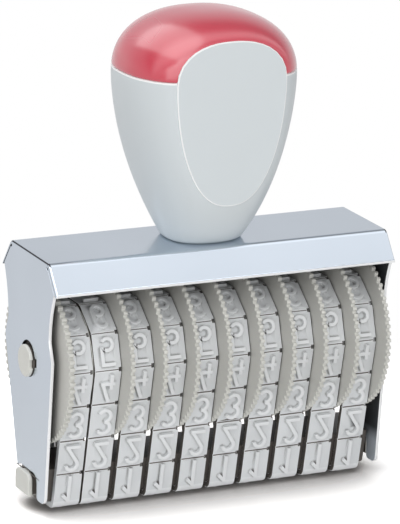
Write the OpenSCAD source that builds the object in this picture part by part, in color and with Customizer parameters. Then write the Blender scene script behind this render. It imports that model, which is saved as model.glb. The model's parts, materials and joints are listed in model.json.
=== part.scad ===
// Ten-band number stamp: endless number bands run over thumb-wheels on one axle and
// round an anvil bar, in a folded sheet frame with a moulded handle on top.
// X runs along the row of bands, -Y is the front and Z is up from the printing faces.

/* [Number unit] */
// Width of one number band
band_w = 7.1; // [6.8:0.1:7.4]
// Thickness of one thumb-wheel flange
flange_t = 1.6; // [1.4:0.1:1.8]
// Thickness of the guide rim on the other side of a wheel's band
rim_t = 0.7; // [0.5:0.1:0.9]
// Side gap between a band and its flange or rim, and between two units
side_gap = 0.2; // [0.15:0.05:0.3]
// Length of one number block along its band
block_l = 10.7; // [10.3:0.1:11]
// Thickness of the band without its digits
band_t = 1.7; // [1.5:0.1:1.9]
// Height of the raised digits
relief = 1; // [0.8:0.1:1.2]
// Height of one digit
digit_h = 8.4; // [7.6:0.2:8.8]
// Width of one digit
digit_w = 4.4; // [4:0.1:5]
// Width of a digit's stroke
stroke = 1.05; // [0.9:0.05:1.2]

/* [Thumb-wheels] */
// Radius over the teeth
wheel_r = 24; // [23:0.5:25]
// Number of teeth round one flange
teeth = 72; // [60:4:80]
// Depth of the teeth
tooth_d = 0.9; // [0.6:0.1:1.1]

/* [Axle and anvil] */
// Height of the axle above the printing faces
axle_z = 43.4; // [42.8:0.2:44.4]
// Radius of the axle
axle_r = 4.6; // [4.2:0.1:5]
// How far the axle stands out of each cheek
axle_out = 1.2; // [0.8:0.1:1.8]
// Half-width of the flat printing face of the anvil
anvil_flat = 5.9; // [5.5:0.1:6.3]
// Radius of a band where it turns under the anvil
turn_r = 3; // [2.6:0.1:3.4]
// Height of the anvil's top edge
anvil_top = 13.4; // [12.6:0.2:14.2]
// How far the heads of the anvil's end tenons stand out of each cheek
tenon_out = 1.4; // [1.1:0.1:1.7]

/* [Frame] */
// Thickness of the sheet
sheet = 1; // [0.8:0.1:1.2]
// Height of the top plate above the axle
top_rise = 31.6; // [31:0.2:33.6]
// Depth of the top plate, front to back
top_d = 27.4; // [26:0.2:29]
// Depth over the lower edges of the two aprons
apron_d = 39.8; // [38:0.2:41]
// Drop from the top plate to the aprons' lower edges
apron_drop = 7.9; // [7:0.1:9]
// Height of the cheeks' lower ends
cheek_z = 4.2; // [3.6:0.2:4.8]
// Depth of the cheek from the axle to its widest front point
cheek_bulge = 16.8; // [16.2:0.2:17.4]
// Depth of the cheek at its waist under the apron
cheek_waist = 14.7; // [14.1:0.2:15.3]
// Depth of the cheek at its lower front end
cheek_foot = 13; // [12.4:0.2:13.6]
// Room on each side between the wheel pack and the cheek
pack_room = 1.8; // [1.6:0.1:2.2]

/* [Handle] */
// Height of the handle
handle_h = 66; // [64:0.4:70]
// Half-width of the foot
foot_a = 11.1; // [10:0.1:11.6]
// Half-depth of the foot
foot_b = 10.3; // [10:0.1:11]
// Greatest half-width
grip_a = 25.7; // [25:0.1:28]
// Greatest half-depth before the flat faces are cut
grip_b = 23.5; // [23:0.1:25]
// Distance of the face plates' pocket floors from the middle
seat_y = 18.2; // [17.8:0.1:18.6]
// Thickness of the face plates
face_t = 0.9; // [0.6:0.1:1.2]
// Wall of the moulded shells
wall = 2.2; // [2:0.1:2.6]
// Radius of the screw's thread
screw_r = 2.5; // [2:0.1:3]

/* [Hidden] */
band_count = 10;
block_count = 14;
unit_pitch = rim_t + band_w + flange_t + 3 * side_gap;
pack_l = unit_pitch * band_count - side_gap;
frame_l = pack_l + 2 * (pack_room + sheet);
inner_x = frame_l / 2 - sheet;
top_z = axle_z + top_rise;
$fn = 48;
tiny = 0.01;
run_clear = 0.05;
ivory = [0.82, 0.82, 0.77];
chrome = [0.78, 0.81, 0.85];
rubber = [0.81, 0.82, 0.83];
grip_grey = [0.80, 0.83, 0.84];
cap_red = [0.80, 0.29, 0.36];

function two_digits(i) = str(i < 10 ? "0" : "", i);
function wheel_name(i) = str("wheel_", two_digits(i));
function band_name(i) = str("band_", two_digits(i));

// Where each unit sits along the axle: unit 1 has its flange on the left and no rim,
// the rest have their rim on the left and their flange on the right.
function unit_x(i) = -pack_l / 2 + (i - 1) * unit_pitch;
function band_x(i) = unit_x(i) + (i == 1 ? (unit_pitch + flange_t - band_w) / 2 : rim_t + side_gap);
function flange_x(i) = unit_x(i) + (i == 1 ? 0 : rim_t + band_w + 2 * side_gap);

// The band's path in the YZ plane, at its outer surface without digits.
hub_step = 36;
hub_vertices = 6;
path_r = block_l / (2 * sin(hub_step / 2));
base_z = relief;
turn_c = [-anvil_flat, base_z + turn_r];
run_start = [-path_r, axle_z];
turn_way = turn_c - run_start;
lean = atan2(turn_way[0], -turn_way[1]) - asin(turn_r / norm(turn_way));
run_dir = [sin(lean), -cos(lean)];
run_out = [-cos(lean), -sin(lean)];
run_l = sqrt(pow(norm(turn_way), 2) - turn_r * turn_r);
turn_l = turn_r * (90 - lean) * PI / 180;
straight_blocks = 3;
low_block_l = 2 * (run_l - straight_blocks * block_l + turn_l + anvil_flat) / 3;

function flip(p) = [-p[0], p[1]];
function polar(r, a) = r * [cos(a), sin(a)];
function mitre(p, n1, n2, off) = p + off * (n1 + n2) / (1 + n1 * n2);
function hub_out(j) = polar(1, 180 - hub_step * (j + 0.5));
function hub_vertex(j, off) = mitre(
    [0, axle_z] + polar(path_r, 180 - hub_step * j),
    j == 0 ? run_out : hub_out(j - 1),
    j == hub_vertices - 1 ? flip(run_out) : hub_out(j), off);
turn_steps = 8;
function turn_arc(off) = [for (k = [0 : turn_steps])
    turn_c + polar(turn_r + off, 180 + lean + k * (90 - lean) / turn_steps)];
function backward(list) = [for (k = [len(list) - 1 : -1 : 0]) list[k]];
function band_outline(off) = concat(
    [for (j = [0 : hub_vertices - 1]) hub_vertex(j, off)],
    [for (p = turn_arc(off)) flip(p)],
    backward(turn_arc(off)));

// Middle of each block and the direction it faces, counted from the printing block up the front.
function run_block(k) = run_start + run_dir * block_l * (k + 0.5);
low_gap = 0.35;
low_digit = run_start + run_dir * (straight_blocks * block_l + low_gap + digit_h / 2);
function front_block(i) = i == 1 ? low_digit : run_block(4 - i);
function block_spot(i) =
    i == 0 ? [0, base_z] :
    i <= 4 ? front_block(i) :
    i <= 9 ? [0, axle_z] + path_r * cos(hub_step / 2) * hub_out(i - 5) :
    flip(front_block(block_count - i));
function block_face(i) =
    i == 0 ? 270 :
    i <= 4 ? 180 + lean :
    i <= 9 ? 180 - hub_step * (i - 4.5) :
    -lean;

// The grooves between blocks: six at the hub's corners, three down each run, two underneath.
function hub_seam_face(j) = 180 - hub_step * j;
seams = concat(
    [for (j = [0 : hub_vertices - 1]) [hub_vertex(j, 0), hub_seam_face(j)]],
    [for (k = [1 : straight_blocks]) [run_start + run_dir * block_l * k, 180 + lean]],
    [for (k = [1 : straight_blocks]) [flip(run_start + run_dir * block_l * k), -lean]],
    [for (s = [-1, 1]) [[s * low_block_l / 2, base_z], 270]]);

// Turns a shape drawn in X and Z-out into place on the band's face.
module on_band(spot, face) {
    translate([0, spot[0], spot[1]]) rotate([face - 90, 0, 0]) children();
}

// Extrudes a YZ outline along X.
module along_x(x0, length) {
    translate([x0, 0, 0]) rotate([90, 0, 90]) linear_extrude(length) children();
}

// Digits as flat strokes, centred, the right way round.
half_w = digit_w / 2;
half_h = digit_h / 2;
pen_x = half_w - stroke / 2;
pen_y = half_h - stroke / 2;

module bar(from, to) {
    way = to - from;
    translate(from) rotate(atan2(way[1], way[0]))
        translate([0, -stroke / 2]) square([norm(way), stroke]);
}

module ring(r) {
    difference() {
        circle(r + stroke / 2);
        circle(r - stroke / 2);
    }
}

module ring_part(r, first, last) {
    reach = 3 * (r + stroke);
    steps = 4;
    intersection() {
        ring(r);
        polygon(concat([[0, 0]], [for (k = [0 : steps])
            polar(reach, first + k * (last - first) / steps)]));
    }
}

upper_r = pen_y / 2;
upper_c = [0, pen_y - upper_r];

module digit_0() {
    for (s = [-1, 1]) translate([0, s * (pen_y - pen_x)])
        ring_part(pen_x, s * 90 - 90, s * 90 + 90);
    for (s = [-1, 1]) bar([s * pen_x, pen_x - pen_y], [s * pen_x, pen_y - pen_x]);
}

module digit_1() {
    bar([0, -half_h], [0, half_h]);
    bar([0.1, pen_y], [-pen_x, pen_y - pen_x]);
}

module digit_2() {
    centre = [0, pen_y - pen_x];
    translate(centre) ring_part(pen_x, -35, 170);
    bar(centre + polar(pen_x, -35), [-pen_x, -pen_y]);
    bar([-half_w, -pen_y], [half_w, -pen_y]);
}

module digit_3() {
    for (s = [-1, 1]) translate([0, s * upper_r]) ring_part(upper_r, s * 30 - 120, s * 30 + 120);
}

module digit_4() {
    cross_y = -upper_r * 0.8;
    stem_x = pen_x * 0.6;
    bar([stem_x, -half_h], [stem_x, cross_y + upper_r]);
    bar([-pen_x, cross_y], [pen_x * 0.3, half_h]);
    bar([-half_w, cross_y], [half_w, cross_y]);
}

module digit_5() {
    bowl = pen_x;
    translate([0, bowl - pen_y]) ring_part(bowl, -150, 125);
    bar([-pen_x, 2 * bowl - pen_y - stroke], [-pen_x, half_h]);
    bar([-half_w, pen_y], [half_w, pen_y]);
}

module digit_6() {
    translate([0, pen_x - pen_y]) ring(pen_x);
    bar([-pen_x, pen_x - pen_y], [-pen_x, pen_y - pen_x]);
    translate([0, pen_y - pen_x]) ring_part(pen_x, 20, 180);
}

module digit_7() {
    bar([-half_w, pen_y], [half_w, pen_y]);
    bar([pen_x, pen_y], [-pen_x / 2, -half_h]);
}

module digit_8() {
    for (s = [-1, 1]) translate([0, s * upper_r]) ring(upper_r);
}

module sign_dash() {
    bar([-pen_x, 0], [pen_x, 0]);
}

module sign_point() {
    translate([0, -pen_y]) square(stroke, center = true);
}

module sign_stroke() {
    bar([-pen_x, -pen_y], [pen_x, pen_y]);
}

module glyph(i) {
    if (i == 0) digit_0();
    if (i == 1) digit_1();
    if (i == 2) digit_2();
    if (i == 3) digit_3();
    if (i == 4) digit_4();
    if (i == 5) digit_5();
    if (i == 6) digit_6();
    if (i == 7) digit_7();
    if (i == 8) digit_8();
    if (i == 9) rotate(180) digit_6();
    if (i == 10) sign_dash();
    if (i == 11) sign_point();
    if (i == 12) sign_stroke();
}

// A raised digit, reversed for printing, that stands on its block.
root = 0.3;
module raised_digit(i) {
    on_band(block_spot(i), block_face(i))
        translate([band_w / 2, 0, -root]) linear_extrude(root + relief) mirror([0, 1]) glyph(i);
}

groove = 0.45;
nick_w = 0.8;
nick_l = 1.2;
nick_d = 0.9;
module band_seam(seam) {
    on_band(seam[0], seam[1]) {
        rotate([45, 0, 0]) translate([-1, -groove / 2, -groove / 2])
            cube([band_w + 2, groove, groove]);
        translate([band_w - nick_w, -nick_l / 2, -nick_d]) cube([nick_w + 1, nick_l, 2 * nick_d]);
    }
}

// One endless band with its 14 blocks.
module band(i) {
    color(rubber) translate([band_x(i), 0, 0]) {
        difference() {
            along_x(0, band_w) difference() {
                polygon(band_outline(0));
                polygon(band_outline(-band_t));
            }
            for (seam = seams) band_seam(seam);
        }
        for (k = [0 : block_count - 2]) raised_digit(k);
    }
}

// One thumb-wheel: toothed flange, drum under the band, guide rim and a bore that runs on the axle.
rim_r = path_r * cos(hub_step / 2) - 0.25;
drum_r = path_r * cos(hub_step / 2) - band_t - 0.35;
drum_wall = 2;
boss_r = axle_r + 2.6;
web_t = 2.4;
tooth_step = 360 / teeth;
function tooth(k) = [for (q = [[0, 0.02], [1, 0.14], [1, 0.56], [0, 0.68]])
    polar(wheel_r - tooth_d * (1 - q[0]), (k + q[1]) * tooth_step)];
tooth_outline = [for (k = [0 : teeth - 1]) each tooth(k)];

module wheel(i) {
    on_left = i == 1;
    drum_x = on_left ? flange_x(i) + flange_t : unit_x(i);
    drum_l = unit_pitch - flange_t - side_gap;
    hollow_x = on_left ? drum_x + web_t : drum_x - 1;
    color(ivory) translate([0, 0, axle_z]) difference() {
        union() {
            along_x(flange_x(i), flange_t) polygon(tooth_outline);
            along_x(drum_x, drum_l) circle(drum_r);
            if (!on_left) along_x(drum_x, rim_t) circle(rim_r);
        }
        along_x(hollow_x, drum_l - web_t + 1) difference() {
            circle(drum_r - drum_wall);
            circle(boss_r);
        }
        along_x(-frame_l, 2 * frame_l) circle(axle_r + run_clear);
    }
}

// The fixed axle with a key slot at the front of each end.
key_h = 2.4;
key_d = 1;
axle_l = frame_l + 2 * axle_out;
module axle() {
    color(ivory) difference() {
        translate([0, 0, axle_z]) along_x(-axle_l / 2, axle_l) circle(axle_r);
        for (s = [-1, 1]) translate([s * axle_l / 2, -axle_r, axle_z])
            cube([2 * axle_out, 2 * key_d, key_h], center = true);
    }
}

// Two rings that keep the pack of wheels between the cheeks.
module axle_spacers() {
    spacer_t = pack_room - 0.2;
    color(ivory) for (s = [-1, 1]) translate([s * (pack_l / 2 + pack_room / 2), 0, axle_z])
        along_x(-spacer_t / 2, spacer_t) difference() {
            circle(boss_r);
            circle(axle_r + run_clear);
        }
}

// The bar that backs the bands while they print, with a headed tenon at each end.
band_fit = 0.1;
tenon_half = 4.9;
tenon_back = 0.2;
tenon_z = base_z + band_t + 1.7;
tenon_top = tenon_z + 6.4;
tenon_round = 2;
neck_in = 1.2;
head_gap = 0.1;
module tenon_face(half) {
    for (s = [-1, 1]) translate([s * (half - tenon_round), tenon_top - tenon_round])
        circle(tenon_round);
    translate([-half, tenon_z]) square([2 * half, tenon_top - tenon_z - tenon_round]);
    translate([tenon_round - half, tenon_z])
        square([2 * (half - tenon_round), tenon_top - tenon_z]);
}

module anvil() {
    tenon_l = frame_l + 2 * tenon_out;
    head_t = tenon_out - head_gap;
    bar_half = inner_x - pack_room / 2;
    color(ivory) {
        along_x(-bar_half, 2 * bar_half) intersection() {
            polygon(band_outline(-band_t - band_fit));
            translate([-wheel_r, 0]) square([2 * wheel_r, anvil_top]);
        }
        translate([0, tenon_back, 0]) {
            along_x(-tenon_l / 2, tenon_l) tenon_face(tenon_half - neck_in);
            for (s = [-1, 1]) translate([s * (tenon_l - head_t) / 2, 0, 0])
                along_x(-head_t / 2, head_t) tenon_face(tenon_half);
        }
    }
}

// Folded sheet frame: top plate and two sloping aprons, with a cheek at each end.
apron_lean = atan2((apron_d - top_d) / 2, apron_drop);
fold_r = 2.2;
fold_steps = 6;
bend_r = fold_r - sheet;
function apron_line(in) = [
    [top_d / 2 - in * tan((90 - apron_lean) / 2), top_z - in],
    [apron_d / 2 - in / cos(apron_lean), top_z - apron_drop]];
function fold_arc(r, in) =
    let (corner = apron_line(in)[0],
         back = r * tan((90 - apron_lean) / 2),
         centre = corner + [-back, -r])
    [for (k = [0 : fold_steps]) centre + polar(r, 90 - k * (90 - apron_lean) / fold_steps)];
function apron_end(in) = [apron_d / 2, top_z - apron_drop] - in * [cos(apron_lean), sin(apron_lean)];
function hood_half(r, in) = concat(fold_arc(r, in), [apron_end(in)]);
function across(half) = concat(backward(half), [for (p = half) flip(p)]);
hood = concat(across(hood_half(fold_r, 0)), backward(across(hood_half(bend_r, sheet))));

slit = 0.25;
relief_r = 0.6;
waist_z = top_z - 22.4;
bulge_z = top_z - 28;
hole_r = axle_r + 0.6;
slot_front = 7.2;
slot_round = 2.6;
slot_z = tenon_top + 0.6;
rear_foot = 7;
rear_lip = [2.6, 1];
leg_round = 2.4;
waist_steps = 8;

// The waist is a quarter wave from the bulge up to the apron.
cheek_top = apron_line(sheet + slit);
cheek_shoulder = cheek_top[1][0] - 0.3;
function waist_side(s) = [for (k = [0 : waist_steps])
    let (t = k / waist_steps)
    [s * (cheek_waist + (cheek_shoulder - cheek_waist) * pow(t, 2)),
     waist_z + (top_z - apron_drop - waist_z) * t]];
function round_corner(c, r, first, last) = [for (k = [0 : fold_steps])
    c + polar(r, first + k * (last - first) / fold_steps)];
cheek_outline = concat(
    [flip(cheek_top[0] + [0, sheet]), flip(cheek_top[0]), flip(cheek_top[1])],
    backward(waist_side(-1)),
    [[-cheek_bulge, bulge_z]],
    round_corner([leg_round - cheek_foot, cheek_z + leg_round], leg_round, 180, 270),
    round_corner([-slot_front - slot_round / 2, cheek_z + slot_round / 2], slot_round / 2, 270, 360),
    round_corner([-slot_front + slot_round, slot_z - slot_round], slot_round, 180, 90),
    [[rear_foot - rear_lip[0], slot_z], [rear_foot, slot_z - rear_lip[1]]],
    [[cheek_bulge, bulge_z]],
    waist_side(1),
    [cheek_top[1], cheek_top[0], cheek_top[0] + [0, sheet]]);

module cheek(s) {
    difference() {
        along_x(s > 0 ? inner_x : -inner_x - sheet, sheet) difference() {
            polygon(cheek_outline);
            for (y = [-1, 1]) translate([y * cheek_top[0][0], cheek_top[0][1]]) circle(relief_r);
        }
        translate([0, 0, axle_z + hole_r - axle_r]) {
            along_x(-frame_l, 2 * frame_l) circle(hole_r);
            translate([-frame_l, -hole_r - key_d, -key_h / 2])
                cube([2 * frame_l, hole_r + key_d, key_h]);
        }
    }
}

module frame() {
    color(chrome) difference() {
        union() {
            along_x(-frame_l / 2, frame_l) polygon(hood);
            for (s = [-1, 1]) cheek(s);
        }
        translate([0, 0, top_z - sheet - 1]) cylinder(r = screw_r + 0.2, h = sheet + 2);
    }
}

// Outline of the handle at height h above the top plate: a rounded oval cut by two flat faces.
swell_h = handle_h * 0.723;
dome_h = handle_h - swell_h;
split_h = handle_h * 0.75;
oval = 2.35;
rise_a = 1.7;
rise_b = 3.5;
dome_a = 2.25;
dome_b = 2.5;
face_proud = 0.1;
flat_y = seat_y + face_t - face_proud;
function rise(h, q) = 1 - pow(1 - min(h / swell_h, 1), q);
function dome(h, q) = h <= swell_h ? 1 : pow(max(1 - pow((h - swell_h) / dome_h, q), 0), 1 / q);
function half_a(h) = (foot_a + (grip_a - foot_a) * rise(h, rise_a)) * dome(h, dome_a);
function half_b(h) = (foot_b + (grip_b - foot_b) * rise(h, rise_b)) * dome(h, dome_b);
function signed_pow(v, q) = sign(v) * pow(abs(v), q);
function clamp(v, most) = max(-most, min(most, v));
loft_points = 64;
function oval_row(h, in) = [for (k = [0 : loft_points - 1])
    let (t = 360 * k / loft_points)
    [(half_a(h) - in) * signed_pow(cos(t), 2 / oval),
     clamp((half_b(h) - in) * signed_pow(sin(t), 2 / oval), flat_y - in),
     top_z + h]];

// A closed skin over rows of points, with a flat end at the first and last row.
module loft(rows) {
    n = len(rows[0]);
    last = len(rows) - 1;
    points = [for (row = rows) each row];
    sides = [for (r = [0 : last - 1]) for (k = [0 : n - 1])
        let (a = r * n + k, b = r * n + (k + 1) % n)
        each [[a, a + n, b], [b, a + n, b + n]]];
    first_end = [for (k = [0 : n - 1]) k];
    last_end = [for (k = [n - 1 : -1 : 0]) last * n + k];
    polyhedron(points, concat([first_end], sides, [last_end]));
}

body_rows = 12;
foot_round = 0.9;
floor_t = 3;
spigot_h = 3;
lip = wall / 2;
lip_gap = 0.3;
boss_outer = 7;
boss_h = 24;
insert_r = screw_r + 1.3;
insert_l = 14;
insert_h = 8;
peg_r = 1.5;
peg_l = 2;
peg_heights = [0.38, 0.64] * handle_h;

module peg_rods(r, y0, y1) {
    for (h = peg_heights) translate([0, y0, top_z + h]) rotate([90, 0, 0])
        translate([0, 0, y0 - y1]) cylinder(r = r, h = y1 - y0);
}

module handle_body() {
    rim_h = split_h + spigot_h;
    rows = concat(
        [oval_row(0, foot_round), oval_row(foot_round * 0.3, foot_round * 0.3)],
        [for (k = [0 : body_rows]) oval_row(foot_round + k * (split_h - foot_round) / body_rows, 0)],
        [oval_row(split_h, lip + lip_gap), oval_row(rim_h, lip + 2 * lip_gap),
         oval_row(rim_h, wall + lip_gap)],
        [for (k = [body_rows : -1 : 0])
            oval_row(floor_t + k * (split_h - floor_t) / body_rows, wall)]);
    color(grip_grey) difference() {
        union() {
            loft(rows);
            translate([0, 0, top_z + floor_t / 2]) cylinder(r = boss_outer, h = boss_h - floor_t / 2);
        }
        translate([0, 0, top_z - 1]) cylinder(r = screw_r + 0.2, h = boss_h + 2);
        translate([0, 0, top_z + insert_h]) cylinder(r = insert_r, h = boss_h);
        for (s = [-1, 1]) translate([0, s * seat_y, 0]) peg_rods(peg_r + run_clear, -wall - 1, wall + 1);
        face_pockets(seat_y);
    }
}

module handle_cap() {
    dome_rows = 12;
    function cap_h(t) = split_h + (handle_h - split_h) * sin(90 * t);
    top_in = 0.04;
    outer = [for (k = [0 : dome_rows]) oval_row(cap_h((1 - top_in) * k / dome_rows), 0)];
    shrink = 1 - lip / (handle_h - split_h);
    function inner_row(row) = [for (p = row)
        let (z = top_z + split_h + (p[2] - top_z - split_h) * shrink)
        [p[0] * (1 - lip / grip_a), p[1] * (1 - lip / flat_y), z]];
    inner = [for (k = [dome_rows : -1 : 0]) inner_row(outer[k])];
    color(cap_red) difference() {
        loft(concat(inner, outer));
        face_pockets(seat_y - lip);
    }
}

// Face plate let into the flat of the shell, and through the cap above it, on two pegs.
face_edge = 0.4;
face_gap = 0.1;
face_steps = 28;
face_low = swell_h * (1 - pow(1 - (flat_y - foot_b) / (grip_b - foot_b), 1 / rise_b));
face_high = swell_h + dome_h * pow(1 - pow(flat_y / grip_b, dome_b), 1 / dome_b);
function flat_half(h) = half_a(h) *
    pow(max(1 - pow(min(flat_y / half_b(h), 1), oval), 0), 1 / oval);
function ease(t) = (1 - cos(180 * t)) / 2;
function face_point(t) =
    let (h = face_low + (face_high - face_low) * ease(ease(t))) [flat_half(h), top_z + h];
function face_inset(t, in) =
    let (way = face_point(min(t + tiny, 1)) - face_point(max(t - tiny, 0)))
    face_point(t) + in * [-way[1], way[0]] / norm(way);
face_ends = [top_z + face_low, top_z + face_high];
function face_side(in) = [for (k = [1 : face_steps - 1]) face_inset(k / face_steps, in)];
module face_outline(in) {
    polygon(concat(
        [[0, face_ends[0] + in]], face_side(in), [[0, face_ends[1] - in]],
        backward([for (p = face_side(in)) flip(p)])));
}

module face_pockets(floor_y) {
    for (turn = [0, 180]) rotate([90, 0, turn]) translate([0, 0, floor_y])
        linear_extrude(2 * wall) face_outline(face_edge - face_gap);
}

module face_plate() {
    color(grip_grey) {
        rotate([90, 0, 0]) translate([0, 0, seat_y]) linear_extrude(face_t) face_outline(face_edge);
        translate([0, -seat_y, 0]) peg_rods(peg_r, -tiny, peg_l);
    }
}

module handle_face_front() {
    face_plate();
}

module handle_face_rear() {
    rotate([0, 0, 180]) face_plate();
}

// The screw that holds the handle, from under the top plate.
washer_t = 1;
head_h = 2.8;
head_r = screw_r * 1.7;
screw_top = insert_h + insert_l - 1;
module handle_screw() {
    head_top = top_z - sheet - washer_t;
    color("silver") difference() {
        union() {
            translate([0, 0, head_top - head_h]) cylinder(r = head_r, h = head_h);
            translate([0, 0, head_top - tiny]) cylinder(r = screw_r, h = washer_t + sheet + screw_top);
        }
        translate([0, 0, head_top - head_h - 1]) cylinder(r = screw_r * 0.9, h = 2.6, $fn = 6);
    }
}

module handle_washer() {
    color("silver") translate([0, 0, top_z - sheet - washer_t]) difference() {
        cylinder(r = head_r + 1.4, h = washer_t);
        translate([0, 0, -1]) cylinder(r = screw_r + 0.1, h = washer_t + 2);
    }
}

module handle_insert() {
    color("goldenrod") translate([0, 0, top_z + insert_h]) difference() {
        cylinder(r = insert_r, h = insert_l);
        translate([0, 0, -1]) cylinder(r = screw_r + run_clear, h = insert_l + 2);
    }
}

frame();
axle();
axle_spacers();
anvil();
handle_body();
handle_cap();
handle_face_front();
handle_face_rear();
handle_screw();
handle_washer();
handle_insert();
for (i = [1 : band_count]) {
    wheel(i);
    band(i);
}
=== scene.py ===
import json
import math
import bmesh
import bpy
from mathutils import Matrix, Vector


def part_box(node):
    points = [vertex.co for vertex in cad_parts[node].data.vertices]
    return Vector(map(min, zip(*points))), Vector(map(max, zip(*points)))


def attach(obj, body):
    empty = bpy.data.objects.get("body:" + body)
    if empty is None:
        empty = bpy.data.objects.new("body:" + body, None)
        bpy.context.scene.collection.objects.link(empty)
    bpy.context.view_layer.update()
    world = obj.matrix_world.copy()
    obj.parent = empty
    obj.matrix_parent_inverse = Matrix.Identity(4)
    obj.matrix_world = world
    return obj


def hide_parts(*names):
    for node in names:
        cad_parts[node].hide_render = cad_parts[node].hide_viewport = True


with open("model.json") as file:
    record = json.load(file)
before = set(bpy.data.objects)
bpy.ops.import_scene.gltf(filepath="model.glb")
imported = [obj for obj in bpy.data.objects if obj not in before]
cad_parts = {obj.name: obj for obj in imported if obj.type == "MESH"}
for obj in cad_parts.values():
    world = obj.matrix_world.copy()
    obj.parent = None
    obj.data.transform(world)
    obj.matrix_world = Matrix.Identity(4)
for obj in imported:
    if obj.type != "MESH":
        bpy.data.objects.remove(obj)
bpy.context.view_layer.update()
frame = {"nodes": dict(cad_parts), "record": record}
nodes = frame["nodes"]
record = frame["record"]
mm = 0.001
black = (0, 0, 0)
white = (1, 1, 1)
slotOf = {part["node"]: part["material_slot"] for part in record["subparts"]}
bodyOf = {node: body for body, members in record["behaviour"]["bodies"].items() for node in members}
print("frame loaded:", len(nodes), "nodes")


# Shader helpers
class Sock:
    def __init__(self, shader, link):
        self.shader = shader
        self.link = link

    def maths(self, kind, first, second):
        return self.shader.node("ShaderNodeMath", {"operation": kind}, [first, second])

    def __add__(self, other):
        return self.maths("ADD", self, other)

    def __radd__(self, other):
        return self.maths("ADD", other, self)

    def __sub__(self, other):
        return self.maths("SUBTRACT", self, other)

    def __rsub__(self, other):
        return self.maths("SUBTRACT", other, self)

    def __mul__(self, other):
        return self.maths("MULTIPLY", self, other)

    def __rmul__(self, other):
        return self.maths("MULTIPLY", other, self)

    def atLeast(self, other):
        return self.maths("MAXIMUM", self, other)


class Shader:
    def __init__(self, owner):
        owner.use_nodes = True
        self.owner = owner
        self.tree = owner.node_tree
        self.main = self.tree.nodes.get("Principled BSDF")
        self.coords = None

    def node(self, kind, settings, sockets, output=0):
        made = self.tree.nodes.new(kind)
        for key, value in settings.items():
            if key == "stops":
                self.fillRamp(made.color_ramp, value)
            else:
                setattr(made, key, value)
        pairs = sockets.items() if isinstance(sockets, dict) else enumerate(sockets)
        for key, value in pairs:
            self.feed(made.inputs[key], value)
        return Sock(self, made.outputs[output])

    def fillRamp(self, ramp, stops):
        while len(ramp.elements) < len(stops):
            ramp.elements.new(1)
        for element, (place, colour) in zip(ramp.elements, stops):
            element.position = place
            element.color = (*colour, 1)

    def feed(self, socket, value):
        if isinstance(value, Sock):
            self.tree.links.new(value.link, socket)
        elif socket.type == "RGBA":
            socket.default_value = (*value, 1)
        else:
            socket.default_value = value

    def set(self, values):
        for key, value in values.items():
            self.feed(self.main.inputs[key], value)

    def place(self, stretch=(1, 1, 1)):
        if self.coords is None:
            self.coords = self.node("ShaderNodeTexCoord", {}, {}, "Object")
        return self.node("ShaderNodeMapping", {}, {"Vector": self.coords, "Scale": stretch})

    def noise(self, scale, detail, stretch=(1, 1, 1)):
        return self.node("ShaderNodeTexNoise", {}, {
            "Vector": self.place(stretch), "Scale": scale, "Detail": detail})

    def ramp(self, value, *stops):
        return self.node("ShaderNodeValToRGB", {"stops": stops}, {"Fac": value})

    def spread(self, value, lowest, highest, curve="LINEAR"):
        return self.node("ShaderNodeMapRange", {"interpolation_type": curve}, {
            "Value": value, "From Min": lowest, "From Max": highest})

    def blend(self, factor, first, second):
        sockets = {"Factor": factor, 6: first, 7: second}  # 6 and 7 are the two colours
        return self.node("ShaderNodeMix", {"data_type": "RGBA"}, sockets, 2)

    def bump(self, height, strength, distance):
        return self.node("ShaderNodeBump", {}, {
            "Strength": strength, "Distance": distance, "Height": height})

    def openness(self, reach, local, samples=12):
        settings = {"samples": samples, "only_local": local}
        return self.node("ShaderNodeAmbientOcclusion", settings, {"Distance": reach}, "AO")

    def attribute(self, name):
        return self.node("ShaderNodeAttribute", {"attribute_name": name}, {}, "Fac")

    def lightPath(self, output):
        return self.node("ShaderNodeLightPath", {}, {}, output)

    def axis(self, vector, name):
        return self.node("ShaderNodeSeparateXYZ", {}, [vector], name)


def newMaterial(name):
    return Shader(bpy.data.materials.new(name))


def scaled(colour, factor):
    return tuple(channel * factor for channel in colour)


# Finishes: a cloud is scale, darkest share and detail
# A grain is scale and detail, a bump is strength and depth
cloudSpread = (0.35, 0.65)


def mottled(shader, colour, cloud):
    scale, darkest, detail = cloud
    start, end = cloudSpread
    clouds = shader.noise(scale, detail)
    return clouds, shader.ramp(clouds, (start, scaled(colour, darkest)), (end, colour))


def clearOfCrevices(shader, reach, local, span):
    start, end = span
    return shader.ramp(shader.openness(reach, local), (start, black), (end, white))


platedSheet = {
    "colour": (0.658, 0.717, 0.787), "cloud": (24, 0.95, 2),
    "seam": (0.04, 0.04, 0.045), "cut": (0.93, 0.94, 0.95),
    # Inside faces are dull, and their colour is darkened to 0.62 as painted shade, then to 0.07 above 11
    # to 15 mm as a deeper painted shade
    "inside": 0.62, "paintedShade": 0.07, "paintedShadeAbove": (11 * mm, 15 * mm),
    "dulled": 0.75, "insideBlur": 0.25,
    "roughness": 0.15, "rollMarks": (320, 2, (0.02, 1, 1)), "rollBlur": 0.06,
    "wave": (36, 1), "waveBump": (0.10, 0.4 * mm),
}

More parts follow.
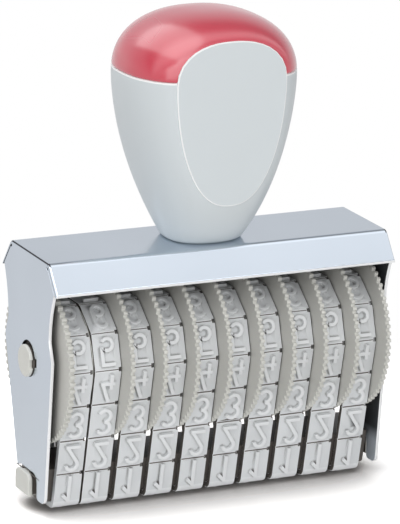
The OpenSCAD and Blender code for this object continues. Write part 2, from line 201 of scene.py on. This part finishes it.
def makePlatedSheet():
    shader = newMaterial("plated_sheet")
    colour = mottled(shader, platedSheet["colour"], platedSheet["cloud"])[1]
    rollMarks = shader.noise(*platedSheet["rollMarks"])
    inside = shader.attribute("inside")
    cut = shader.attribute("cut")
    # painted shade on the inside faces, growing darkest above 11 to 15 mm
    paintedShade = shader.spread(shader.axis(shader.place(), "Z"), *platedSheet["paintedShadeAbove"])
    dullAndShaded = shader.blend(paintedShade, scaled(platedSheet["colour"], platedSheet["inside"]),
                        scaled(platedSheet["colour"], platedSheet["paintedShade"]))
    plated = shader.blend(inside, colour, dullAndShaded)
    # the seam colour is a dark joint on the hood ends and a painted shade on the cheek edges round the
    # holes
    jointAndHoleShade = shader.blend(shader.attribute("seam"), plated, platedSheet["seam"])
    blur = rollMarks * platedSheet["rollBlur"] + inside * platedSheet["insideBlur"]
    shader.set({
        "Metallic": 1 - inside.atLeast(cut) * platedSheet["dulled"],
        # cut edges of the sheet are painted near-white as a painted highlight
        "Base Color": shader.blend(cut, jointAndHoleShade, platedSheet["cut"]),
        "Roughness": platedSheet["roughness"] + blur,
        "Normal": shader.bump(shader.noise(*platedSheet["wave"]), *platedSheet["waveBump"])})
    return shader.owner


gripPlastic = {
    "colour": (0.63, 0.675, 0.695), "cloud": (18, 0.975, 2), "edge": (0.90, 0.91, 0.915),
    "lift": {"grip_plastic": 1.0, "face_plastic": 1.04},
    "roughness": 0.34, "cloudBlur": 0.08, "grain": (2200, 2), "grainBump": (0.06, 0.05 * mm),
}

def makeGripPlastic(name):
    shader = newMaterial(name)
    lifted = scaled(gripPlastic["colour"], gripPlastic["lift"][name])
    clouds, colour = mottled(shader, lifted, gripPlastic["cloud"])
    shader.set({
        # the edge colour is a painted highlight on the body's top rounding and on the face plates' rims
        "Base Color": shader.blend(shader.attribute("edge"), colour, gripPlastic["edge"]),
        "Roughness": gripPlastic["roughness"] + clouds * gripPlastic["cloudBlur"],
        "Normal": shader.bump(shader.noise(*gripPlastic["grain"]), *gripPlastic["grainBump"])})
    return shader.owner


capPlastic = {
    "colour": (0.60, 0.032, 0.064), "cloud": (20, 0.95, 2), "roughness": 0.25, "cloudBlur": 0.06,
    "gloss": 1.0, "glossBlur": 0.20, "glossIndex": 1.75,
    "grain": (260, 2), "grainBump": (0.03, 0.05 * mm),
}

def makeCapPlastic():
    shader = newMaterial("cap_plastic")
    clouds, colour = mottled(shader, capPlastic["colour"], capPlastic["cloud"])
    shader.set({
        "Coat Weight": capPlastic["gloss"],
        "Coat Roughness": capPlastic["glossBlur"],
        "Coat IOR": capPlastic["glossIndex"],
        "Base Color": colour,
        "Roughness": capPlastic["roughness"] + clouds * capPlastic["cloudBlur"],
        "Normal": shader.bump(shader.noise(*capPlastic["grain"]), *capPlastic["grainBump"])})
    return shader.owner


bandRubber = {
    "colour": (0.74, 0.76, 0.775), "cloud": (85, 0.93, 3), "digit": (0.80, 0.815, 0.83),
    # the last two colours are painted shade, in crevices and on the band sides and grooves
    "creviceShade": (0.11, 0.10, 0.09), "side": (0.13, 0.118, 0.106),
    "crevice": 0.9 * mm, "clearSpan": (0.30, 0.90),
    "roughness": 0.50, "grain": (900, 2), "grainBlur": 0.15, "grainBump": (0.12, 0.08 * mm),
}

def makeBandRubber():
    shader = newMaterial("band_rubber")
    colour = mottled(shader, bandRubber["colour"], bandRubber["cloud"])[1]
    grain = shader.noise(*bandRubber["grain"])
    # digit tops and rounded edges get a lighter painted highlight
    face = shader.blend(shader.attribute("raised"), colour, bandRubber["digit"])
    # AO paints shade into the grooves and round the digit bases
    openToLight = clearOfCrevices(shader, bandRubber["crevice"], True, bandRubber["clearSpan"])
    creviceShaded = shader.blend(openToLight, bandRubber["creviceShade"], face)
    shader.set({
        # band sides and grooves take a near-black painted shade
        "Base Color": shader.blend(shader.attribute("side"), creviceShaded, bandRubber["side"]),
        "Roughness": bandRubber["roughness"] + grain * bandRubber["grainBlur"],
        "Normal": shader.bump(grain, *bandRubber["grainBump"])})
    return shader.owner


ivoryPlastic = {
    "colour": (0.65, 0.65, 0.61), "cloud": (60, 0.94, 3),
    "lift": {"wheel_plastic": 1.0, "axle_plastic": 1.06},
    "shaded": {"wheel_plastic": (0.59, 0.585, 0.55), "axle_plastic": (0.10, 0.088, 0.078)},
    "crevice": 2.4 * mm, "clearSpan": (0.20, 0.70), "crevicedTo": 0.30,
    "roughness": 0.38, "cloudBlur": 0.12, "grain": (700, 2), "grainBump": (0.06, 0.06 * mm),
}

def makeIvoryPlastic(name):
    shader = newMaterial(name)
    lifted = scaled(ivoryPlastic["colour"], ivoryPlastic["lift"][name])
    shaded = ivoryPlastic["shaded"][name]
    clouds, colour = mottled(shader, lifted, ivoryPlastic["cloud"])
    clear = clearOfCrevices(shader, ivoryPlastic["crevice"], False, ivoryPlastic["clearSpan"])
    dimmed = shader.blend(clear, scaled(shaded, ivoryPlastic["crevicedTo"]), shaded)
    shader.set({
        "Base Color": shader.blend(shader.attribute("shaded"), colour, dimmed),
        "Roughness": ivoryPlastic["roughness"] + clouds * ivoryPlastic["cloudBlur"],
        "Normal": shader.bump(shader.noise(*ivoryPlastic["grain"]), *ivoryPlastic["grainBump"])})
    return shader.owner


turnedMetal = {
    "colour": {"zinc_steel": (0.55, 0.56, 0.58), "turned_brass": (0.62, 0.44, 0.18)},
    "roughness": {"zinc_steel": 0.30, "turned_brass": 0.28},
    "marks": (500, 2, (1, 1, 6)), "markSpan": (0.3, 0.7), "markDark": 0.85, "markBlur": 0.15,
}

def makeTurnedMetal(name):
    shader = newMaterial(name)
    colour = turnedMetal["colour"][name]
    dark = scaled(colour, turnedMetal["markDark"])
    start, end = turnedMetal["markSpan"]
    marks = shader.noise(*turnedMetal["marks"])
    shader.set({
        "Metallic": 1,
        "Base Color": shader.ramp(marks, (start, dark), (end, colour)),
        "Roughness": turnedMetal["roughness"][name] + marks * turnedMetal["markBlur"]})
    return shader.owner


finishes = {
    "sheet": makePlatedSheet(),
    "grip_plastic": makeGripPlastic("grip_plastic"),
    "face_plastic": makeGripPlastic("face_plastic"),
    "cap_plastic": makeCapPlastic(),
    "band_rubber": makeBandRubber(),
    "wheel_plastic": makeIvoryPlastic("wheel_plastic"),
    "axle_plastic": makeIvoryPlastic("axle_plastic"),
    "steel": makeTurnedMetal("zinc_steel"),
    "brass": makeTurnedMetal("turned_brass"),
}
print("finishes made:", len(finishes))


# Piece helpers: angles in degrees, and how far a normal has to lean towards an axis
meshCopy = {"merge": 0.002 * mm, "flatTo": 0.5, "smoothTo": 40, "roundFrom": 32, "cornerFrom": 60}
leaning = {"fully": 0.9, "steeply": 0.7, "partly": 0.5, "hardly": 0.1}


def addPiece(bm, node):
    mesh = bpy.data.meshes.new(node + "_shaped")
    bm.to_mesh(mesh)
    bm.free()
    mesh.shade_smooth()
    mesh.set_sharp_from_angle(angle=math.radians(meshCopy["smoothTo"]))
    mesh.materials.append(finishes[slotOf[node]])
    piece = bpy.data.objects.new(mesh.name, mesh)
    bpy.context.scene.collection.objects.link(piece)
    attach(piece, bodyOf[node])
    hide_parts(node)
    return piece


def evenNormals(piece):
    modifier = piece.modifiers.new("even_normals", "WEIGHTED_NORMAL")
    modifier.keep_sharp = True


def copyNode(node, merge=meshCopy["merge"]):
    bm = bmesh.new()
    bm.from_mesh(nodes[node].data)
    bmesh.ops.remove_doubles(bm, verts=bm.verts[:], dist=merge)
    flat = math.radians(meshCopy["flatTo"])
    bmesh.ops.dissolve_limit(bm, angle_limit=flat, verts=bm.verts[:], edges=bm.edges[:])
    return bm


def sharpEdges(bm, angle):
    limit = math.radians(angle)
    inner = [edge for edge in bm.edges if len(edge.link_faces) == 2]
    return [edge for edge in inner if edge.calc_face_angle() > limit]


def roundEdges(bm, edges, width, segments):
    made = bmesh.ops.bevel(bm, geom=edges, offset=width, offset_type="OFFSET", affect="EDGES",
                           segments=segments, profile=0.5, material=-1,
                           clamp_overlap=False, loop_slide=False)
    return made["faces"]


def markFaces(bm, name, chosen):
    layer = bm.faces.layers.float.new(name)
    for face in bm.faces:
        face[layer] = 1.0 if chosen(face) else 0.0


def spanX(face):
    along = [vert.co.x for vert in face.verts]
    return max(along) - min(along)


def finishRounded(bm, node, width, segments):
    roundEdges(bm, sharpEdges(bm, meshCopy["roundFrom"]), width, segments)
    evenNormals(addPiece(bm, node))


# Handle shell and cap
bodyLow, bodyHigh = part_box("handle_body")
capLow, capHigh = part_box("handle_cap")
handle = {
    "height": capHigh.z - bodyLow.z, "swellShare": 0.723, "oval": 2.35,
    "width": {"foot": 11.1 * mm, "grip": 25.7 * mm, "rise": 1.7, "dome": 2.25},
    "depth": {"foot": 10.3 * mm, "grip": 23.5 * mm, "rise": 3.5, "dome": 2.5},
    "flat": bodyHigh.y, "flatSoftness": 0.8 * mm, "softReach": 30,
    "footRound": 0.9 * mm, "seamRound": 0.55 * mm,
    "around": 192, "roundSteps": 4, "bodyRows": 48, "capRows": 40, "merge": 0.001 * mm,
}
splitHeight = capLow.z - bodyLow.z
swellHeight = handle["height"] * handle["swellShare"]


def halfSize(height, side):
    rise = 1 - (1 - min(height / swellHeight, 1)) ** side["rise"]
    reach = max(height - swellHeight, 0) / (handle["height"] - swellHeight)
    dome = max(1 - reach ** side["dome"], 0) ** (1 / side["dome"])
    return (side["foot"] + (side["grip"] - side["foot"]) * rise) * dome


def signedPower(value, power):
    return math.copysign(abs(value) ** power, value)


def easedTo(value, most, softness):
    over = (abs(value) - most) / softness
    if over < -handle["softReach"]:
        return value
    return math.copysign(most - softness * math.log1p(math.exp(-over)), value)


def handlePoint(turn, height, inset, spread):
    power = 2 / handle["oval"]
    x = signedPower(math.cos(turn), power) * (halfSize(height, handle["width"]) - inset)
    y = signedPower(math.sin(turn), power) * (halfSize(height, handle["depth"]) - inset)
    y = easedTo(y, handle["flat"] - inset, handle["flatSoftness"])
    return Vector((x * spread, y * spread, bodyLow.z + height))


def evenly(start, end, count):
    return [start + (end - start) * step / count for step in range(count + 1)]


def quarterRound(radius):
    angles = evenly(0, math.pi / 2, handle["roundSteps"])
    return [(radius * (1 - math.sin(angle)), radius * (1 - math.cos(angle))) for angle in angles]


def loftHandle(stations):
    bm = bmesh.new()
    rows = len(stations) - 1
    bmesh.ops.create_grid(bm, x_segments=handle["around"], y_segments=rows, size=0.5)
    for vert in bm.verts:
        station = stations[round((vert.co.y + 0.5) * rows)]
        vert.co = handlePoint((vert.co.x + 0.5) * 2 * math.pi, *station)
    bmesh.ops.remove_doubles(bm, verts=bm.verts[:], dist=handle["merge"])
    bmesh.ops.recalc_face_normals(bm, faces=bm.faces[:])
    return bm


# A station is height, inset and spread, and a spread of 0 closes the end
def makeHandleBody():
    foot = handle["footRound"]
    seam = handle["seamRound"]
    stations = [(0, foot, 0)]
    stations += [(up, inset, 1) for inset, up in quarterRound(foot)]
    heights = evenly(foot, splitHeight - seam, handle["bodyRows"])[1:]
    stations += [(height, 0, 1) for height in heights]
    stations += [(splitHeight - down, inset, 1) for inset, down in reversed(quarterRound(seam))][1:]
    stations += [(splitHeight, seam, 0)]
    bm = loftHandle(stations)
    # the rounding under the cap is marked for a painted highlight
    highlightHeight = bodyLow.z + splitHeight - seam
    markFaces(bm, "edge", lambda face: face.calc_center_median().z > highlightHeight)
    addPiece(bm, "handle_body")


def makeHandleCap():
    seam = handle["seamRound"]
    low = splitHeight + seam
    stations = [(splitHeight, seam, 0)]
    stations += [(splitHeight + up, inset, 1) for inset, up in quarterRound(seam)]
    climbs = [math.sin(math.pi / 2 * share) for share in evenly(0, 1, handle["capRows"])[1:]]
    stations += [(low + (handle["height"] - low) * climb, 0, 1) for climb in climbs]
    addPiece(loftHandle(stations), "handle_cap")


makeHandleBody()
makeHandleCap()
print("handle made")


# Face plates with a rounded rim
facePlate = {"rim": 0.32 * mm, "rimSegments": 3, "frontWithin": 0.01 * mm, "flatFrom": 0.98}

def makeFacePlate(node):
    low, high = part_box(node)
    front = low.y if abs(low.y) > abs(high.y) else high.y
    bm = copyNode(node)
    rim = [edge for edge in sharpEdges(bm, meshCopy["cornerFrom"])
           if all(abs(vert.co.y - front) < facePlate["frontWithin"] for vert in edge.verts)]
    roundEdges(bm, rim, facePlate["rim"], facePlate["rimSegments"])
    # the rounded rim is marked for a painted highlight
    markFaces(bm, "edge", lambda face: abs(face.normal.y) < facePlate["flatFrom"]
              and abs(face.calc_center_median().y - front) < facePlate["rim"])
    evenNormals(addPiece(bm, node))


makeFacePlate("handle_face_front")
makeFacePlate("handle_face_rear")
print("face plates made")


# Sheet frame: seam is the lean of the dark joint line, the shares are of the frame's length and height
sheetFrame = {
    "endRound": 0.75 * mm, "endSegments": 5, "endWithin": 0.02 * mm,
    "edgeRound": 0.16 * mm, "edgeSegments": 2,
    "seam": (0.65, 0.97), "thickest": 1.1 * mm, "footHeight": 3 * mm,
    "fullShare": 0.9, "underHoodShare": 0.85, "belowHoodShare": 0.93,
}
axleHeight = sum(corner.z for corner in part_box("axle")) / 2
sheetLow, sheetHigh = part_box("frame")
fullLength = sheetFrame["fullShare"] * (sheetHigh.x - sheetLow.x)


def isHoodTop(face):
    return face.normal.z > leaning["partly"] and spanX(face) > fullLength


def isInside(face):
    middle = face.calc_center_median()
    high = middle.z > sheetFrame["underHoodShare"] * sheetHigh.z
    underHood = face.normal.z < -leaning["partly"] and high
    inwards = abs(face.normal.x) > leaning["fully"] and face.normal.x * middle.x < 0
    return underHood or inwards


def isBelowHood(face):
    return face.calc_center_median().z < sheetFrame["belowHoodShare"] * sheetHigh.z


def isCheekEdge(face):
    narrow = spanX(face) < sheetFrame["thickest"]
    return narrow and abs(face.normal.x) < leaning["hardly"] and isBelowHood(face)


def isApronEdge(face):
    sloping = face.normal.z < -leaning["steeply"] and abs(face.normal.y) > leaning["partly"]
    return sloping and spanX(face) > fullLength and isBelowHood(face)


def facesHole(face):
    middle = face.calc_center_median()
    axleSide = face.normal.y * middle.y + face.normal.z * (middle.z - axleHeight) < 0
    aboveFoot = middle.z > sheetLow.z + sheetFrame["footHeight"]
    return axleSide or face.normal.z < -leaning["partly"] and aboveFoot


def isHoodEnd(edge, hoodTop):
    atEnd = all(sheetHigh.x - abs(vert.co.x) < sheetFrame["endWithin"] for vert in edge.verts)
    return atEnd and len(hoodTop.intersection(edge.link_faces)) == 1


def makeFrame():
    bm = copyNode("frame")
    markFaces(bm, "inside", isInside)
    # cut edges of the apron and cheeks get a painted highlight
    markFaces(bm, "cut", lambda face: isApronEdge(face) or isCheekEdge(face) and not facesHole(face))
    # cheek edges facing a hole take the near-black seam colour as painted shade
    markFaces(bm, "seam", lambda face: isCheekEdge(face) and facesHole(face))
    seam = bm.faces.layers.float["seam"]
    hoodTop = {face for face in bm.faces if isHoodTop(face)}
    ends = [edge for edge in sharpEdges(bm, meshCopy["cornerFrom"]) if isHoodEnd(edge, hoodTop)]
    steepest, flattest = sheetFrame["seam"]
    for face in roundEdges(bm, ends, sheetFrame["endRound"], sheetFrame["endSegments"]):
        face.normal_update()
        face[seam] = 1.0 if steepest < face.normal.z < flattest else 0.0
    finishRounded(bm, "frame", sheetFrame["edgeRound"], sheetFrame["edgeSegments"])


makeFrame()
print("frame made")


# Number bands: the digit tops and the rounded edges get a painted highlight, the sides and grooves a
# painted shade, and the sides swell into the gaps
numberBand = {
    "edgeRound": 0.16 * mm, "edgeSegments": 3, "merge": 0.03 * mm, "largestDigit": 30 * mm * mm,
    "middle": 2.6 * mm, "swell": 0.45 * mm,
    "grooveLength": 6 * mm, "largestGroove": 3.6 * mm * mm, "grooveAngle": -0.5,
}
bandNames = sorted(name for name in nodes if name.startswith("band_"))


def isDigitTop(face):
    convex = all(edge.calc_face_angle_signed(0) > 0 for edge in face.edges)
    small = face.calc_area() < numberBand["largestDigit"]
    return convex and small and abs(face.normal.x) < leaning["hardly"]


def isBandSide(face, centre, outer):
    offsets = [vert.co.x - centre for vert in face.verts]
    right = min(offsets) > numberBand["middle"] and outer != "right"
    left = max(offsets) < -numberBand["middle"] and outer != "left"
    return left or right


def isGroove(face):
    small = face.calc_area() < numberBand["largestGroove"]
    sunken = any(edge.calc_face_angle_signed(0) < numberBand["grooveAngle"] for edge in face.edges)
    return small and sunken and spanX(face) > numberBand["grooveLength"]


def swellSides(bm, centre):
    for vert in bm.verts:
        offset = vert.co.x - centre
        if abs(offset) > numberBand["middle"]:
            vert.co.x += math.copysign(numberBand["swell"], offset)


def makeBand(node):
    low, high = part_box(node)
    centre = (low.x + high.x) / 2
    outer = {bandNames[0]: "left", bandNames[-1]: "right"}.get(node)
    bm = copyNode(node, numberBand["merge"])
    swellSides(bm, centre)
    markFaces(bm, "raised", isDigitTop)
    # sides and grooves are marked for painted shade
    markFaces(bm, "side", lambda face: isBandSide(face, centre, outer) or isGroove(face))
    bmesh.ops.triangulate(bm, faces=bm.faces[:])  # keeps the bevel clean on the digits' many-sided faces
    convex = [edge for edge in sharpEdges(bm, meshCopy["roundFrom"]) if edge.is_convex]
    rounded = roundEdges(bm, convex, numberBand["edgeRound"], numberBand["edgeSegments"])
    raised = bm.faces.layers.float["raised"]
    side = bm.faces.layers.float["side"]
    # rounded edges take the painted highlight and lose the painted side shade
    for face in rounded:
        face[raised] = 1.0
        face[side] = 0.0
    evenNormals(addPiece(bm, node))


for name in bandNames:
    makeBand(name)
print("bands made:", len(bandNames))


# Thumb-wheels: rim and flange are thinned to give the swollen bands room
thumbWheel = {
    "rim": 0.7 * mm, "rimShift": -0.35 * mm,
    "flange": 1.6 * mm, "innerShift": 0.40 * mm, "outerShift": 0.10 * mm,
    "planeWithin": 0.01 * mm, "edgeRound": 0.13 * mm, "edgeSegments": 2,
}
wheelNames = sorted(name for name in nodes if name.startswith("wheel_"))


def shiftPlane(bm, x, shift):
    for vert in [vert for vert in bm.verts if abs(vert.co.x - x) < thumbWheel["planeWithin"]]:
        vert.co.x += shift


def makeWheel(node):
    low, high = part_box(node)
    bm = copyNode(node)
    if node != wheelNames[0]:
        shiftPlane(bm, low.x + thumbWheel["rim"], thumbWheel["rimShift"])
        shiftPlane(bm, high.x - thumbWheel["flange"], thumbWheel["innerShift"])
    if node not in (wheelNames[0], wheelNames[-1]):
        shiftPlane(bm, high.x, thumbWheel["outerShift"])
    markFaces(bm, "shaded", lambda face: abs(face.normal.x) > leaning["fully"])
    finishRounded(bm, node, thumbWheel["edgeRound"], thumbWheel["edgeSegments"])


for name in wheelNames:
    makeWheel(name)
print("wheels made:", len(wheelNames))


# Axle, spacers and anvil: what lies inside the cheeks, and a thin band just outside them, gets a painted
# shade
insideBars = {"edgeRound": 0.30 * mm, "edgeSegments": 3, "axleGap": 0.30 * mm, "anvilGap": 0.15 * mm}

def makeAxle():
    paintedShadeTo = sheetHigh.x + insideBars["axleGap"]
    bm = copyNode("axle")
    for side in (-paintedShadeTo, paintedShadeTo):
        bmesh.ops.bisect_plane(bm, geom=bm.verts[:] + bm.edges[:] + bm.faces[:],
                               plane_co=(side, 0, 0), plane_no=(1, 0, 0))
    markFaces(bm, "shaded", lambda face: abs(face.calc_center_median().x) < paintedShadeTo)
    finishRounded(bm, "axle", insideBars["edgeRound"], insideBars["edgeSegments"])


def makeSpacers():
    bm = copyNode("axle_spacers")
    markFaces(bm, "shaded", lambda face: True)
    finishRounded(bm, "axle_spacers", insideBars["edgeRound"], insideBars["edgeSegments"])


def makeAnvil():
    paintedShadeTo = sheetHigh.x + insideBars["anvilGap"]
    bm = copyNode("anvil")
    markFaces(bm, "shaded", lambda face: max(abs(vert.co.x) for vert in face.verts) < paintedShadeTo)
    finishRounded(bm, "anvil", insideBars["edgeRound"], insideBars["edgeSegments"])


makeAxle()
makeSpacers()
makeAnvil()
print("axle, spacers and anvil made")


# Screw, washer and insert
fastening = {
    "pieces": ("handle_screw", "handle_washer", "handle_insert"),
    "edgeRound": 0.12 * mm, "edgeSegments": 2,
}

for name in fastening["pieces"]:
    finishRounded(copyNode(name), name, fastening["edgeRound"], fastening["edgeSegments"])
print("fastening made:", len(fastening["pieces"]))


# Floor, light and camera
studio = {
    "floorSize": 3, "floorColour": (0.92, 0.915, 0.91), "floorSeen": (2.10, 2.07, 2.05),
    "floorMirrored": (0.80, 0.80, 0.81), "fade": (0.085, 0.16),
    # the contact values paint a shadow round the object by AO: its colour, reach, open span and samples
    "paintedShadowColour": (0.40, 0.38, 0.37), "contactReach": 0.036,
    "contactOpen": (0.30, 0.84), "contactSamples": 16,
    "worldLevel": (0.30, 0.30, 0.30),
    "backdrop": [
        (0.0, (0.70, 0.70, 0.70)), (0.06, (0.40, 0.41, 0.42)), (0.12, (1.10, 1.10, 1.11)),
        (0.20, (0.90, 0.91, 0.92)), (0.25, (0.62, 0.63, 0.64)), (0.30, (1.00, 1.01, 1.03)),
        (0.40, (1.35, 1.36, 1.38)), (0.50, (1.35, 1.36, 1.38)), (0.60, (0.34, 0.35, 0.36)),
        (0.68, (0.28, 0.29, 0.30)), (0.78, (0.64, 0.65, 0.67)), (0.92, (0.72, 0.73, 0.75)),
        (1.0, (0.9, 0.9, 0.9)),
    ],
    "lamps": [
        {"name": "overhead", "at": (-0.35, 0.00, 1.00), "size": (3.00, 0.90), "radiance": 1.48},
        {"name": "front", "at": (-0.40, -1.35, 0.42), "size": (2.70, 0.80), "radiance": 1.42},
    ],
    "lampsAim": (0, 0, 0.06),
}

def paintFloor():
    shader = newMaterial("floor_paper")
    direct = shader.lightPath("Is Camera Ray")
    seen = direct.atLeast(shader.lightPath("Is Glossy Ray"))
    distance = shader.node("ShaderNodeVectorMath", {"operation": "LENGTH"}, [shader.place()], "Value")
    far = shader.spread(distance, *studio["fade"], "SMOOTHSTEP")
    # AO paints a contact shadow on the floor round the object
    around = shader.openness(studio["contactReach"], False, studio["contactSamples"])
    clear = shader.spread(around, *studio["contactOpen"])
    near = shader.blend(clear, studio["paintedShadowColour"], studio["floorSeen"])
    colour = shader.blend(direct, studio["floorColour"], near)
    paper = shader.node("ShaderNodeBsdfDiffuse", {}, {"Color": colour})
    farColour = shader.blend(direct, studio["floorMirrored"], white)
    glow = shader.node("ShaderNodeEmission", {}, {"Color": farColour, "Strength": 1.0})
    surface = shader.node("ShaderNodeMixShader", {}, [far * seen, paper, glow])
    output = shader.tree.nodes["Material Output"]
    shader.tree.links.new(surface.link, output.inputs["Surface"])
    return shader.owner


def makeFloor():
    bm = bmesh.new()
    bmesh.ops.create_grid(bm, x_segments=1, y_segments=1, size=studio["floorSize"])
    mesh = bpy.data.meshes.new("floor")
    bm.to_mesh(mesh)
    bm.free()
    mesh.materials.append(paintFloor())
    floor = bpy.data.objects.new("floor", mesh)
    bpy.context.scene.collection.objects.link(floor)


def makeWorld():
    world = bpy.data.worlds.new("studio")
    bpy.context.scene.world = world
    shader = Shader(world)
    direction = shader.node("ShaderNodeTexCoord", {}, {}, "Generated")
    height = shader.axis(direction, "Z")
    depth = shader.axis(direction, "Y")
    climb = shader.node("ShaderNodeMath", {"operation": "ARCTAN2"}, [height, depth * -1])
    backdrop = shader.ramp(climb * (1 / math.pi), *studio["backdrop"])
    colour = shader.blend(shader.lightPath("Is Glossy Ray"), studio["worldLevel"], backdrop)
    background = shader.tree.nodes["Background"]
    seen = shader.lightPath("Is Camera Ray").atLeast(shader.lightPath("Is Transmission Ray"))
    shader.feed(background.inputs["Color"], shader.blend(seen, colour, white))


def makeLamps():
    for row in studio["lamps"]:
        lamp = bpy.data.lights.new(row["name"], "AREA")
        lamp.shape = "RECTANGLE"
        lamp.size, lamp.size_y = row["size"]
        lamp.energy = row["radiance"] * math.pi * lamp.size * lamp.size_y
        obj = bpy.data.objects.new(row["name"], lamp)
        obj.location = row["at"]
        bpy.context.scene.collection.objects.link(obj)
        aim = Vector(studio["lampsAim"]) - obj.location
        obj.rotation_euler = aim.to_track_quat("-Z", "Y").to_euler()


photoView = {
    "azimuth": -25.211, "elevation": 15.789, "roll": 1.270,
    "distance": 1.1505, "target": (0.000117, 0, 0.066808),
    "focalPixels": 4038.8, "longSide": 524, "sensor": 36, "clip": (0.05, 20),
}

def makeCamera():
    azimuth = math.radians(photoView["azimuth"])
    elevation = math.radians(photoView["elevation"])
    level = math.cos(elevation)
    back = Vector((math.sin(azimuth) * level, -math.cos(azimuth) * level, math.sin(elevation)))
    right = Vector((0, 0, 1)).cross(back).normalized()
    up = back.cross(right)
    turn = Matrix.Rotation(math.radians(photoView["roll"]), 3, back)
    axes = Matrix((turn @ right, turn @ up, back)).transposed()
    camera = bpy.data.cameras.new("photo_view")
    camera.sensor_width = photoView["sensor"]
    camera.lens = photoView["focalPixels"] / photoView["longSide"] * camera.sensor_width
    camera.clip_start, camera.clip_end = photoView["clip"]
    obj = bpy.data.objects.new("photo_view", camera)
    place = Vector(photoView["target"]) + back * photoView["distance"]
    obj.matrix_world = Matrix.Translation(place) @ axes.to_4x4()
    bpy.context.scene.collection.objects.link(obj)
    bpy.context.scene.camera = obj


makeFloor()
makeWorld()
makeLamps()
makeCamera()
bpy.context.scene.view_settings.view_transform = "Standard"
print("studio made")
